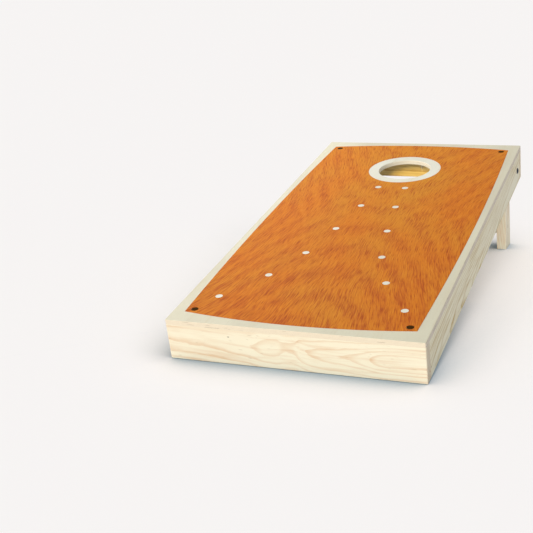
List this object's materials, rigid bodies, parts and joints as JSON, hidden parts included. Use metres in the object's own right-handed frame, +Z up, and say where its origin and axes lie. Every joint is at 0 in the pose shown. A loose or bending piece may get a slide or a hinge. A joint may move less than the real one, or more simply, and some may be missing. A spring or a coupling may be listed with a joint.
{
  "type": "cornhole board",
  "caption": "Sloping plywood bag-toss board with a round hole near its high end, on a timber frame with folding rear legs.",
  "frame": {"origin": "on the ground, under the middle of the board's footprint", "axes": "+X to the right across the board, +Y from the low front end to the high rear end, +Z up"},
  "size_m": [0.618, 1.2274, 0.317],
  "materials": {
    "birch_plywood": "clear satin varnish",
    "deck_wrap": "satin wood-grain print",
    "pine": "planed, clear satin varnish",
    "hardwood": "planed",
    "bronze": "dark antiqued",
    "dark_steel": "dark blue-black coated",
    "zinc_steel": "zinc plated"
  },
  "bodies": {
    "board": {"deck_panel": "birch_plywood", "deck_graphic": "deck_wrap", "corner_trim_screws": "bronze", "front_apron": "pine", "back_apron": "pine", "left_rail": "pine", "right_rail": "pine", "centre_brace": "pine", "frame_dowels": "hardwood", "deck_screws": "zinc_steel", "left_corner_block": "pine", "right_corner_block": "pine", "left_pivot_bolt": "dark_steel", "right_pivot_bolt": "dark_steel", "left_spacer_washer": "zinc_steel", "right_spacer_washer": "zinc_steel", "left_inner_washer": "zinc_steel", "right_inner_washer": "zinc_steel", "left_lock_nut": "zinc_steel", "right_lock_nut": "zinc_steel"},
    "legs": {"left_leg": "pine", "right_leg": "pine", "leg_brace": "pine", "leg_brace_screws": "zinc_steel", "leg_screw_plugs": "hardwood"}
  },
  "joints": [
    {"name": "leg_fold", "type": "hinge", "parent": "board", "child": "legs", "pos_m": [0, 0.52984, 0.24895], "axis": [-1, 0, 0], "range_deg": [0, 90]}
  ]
}
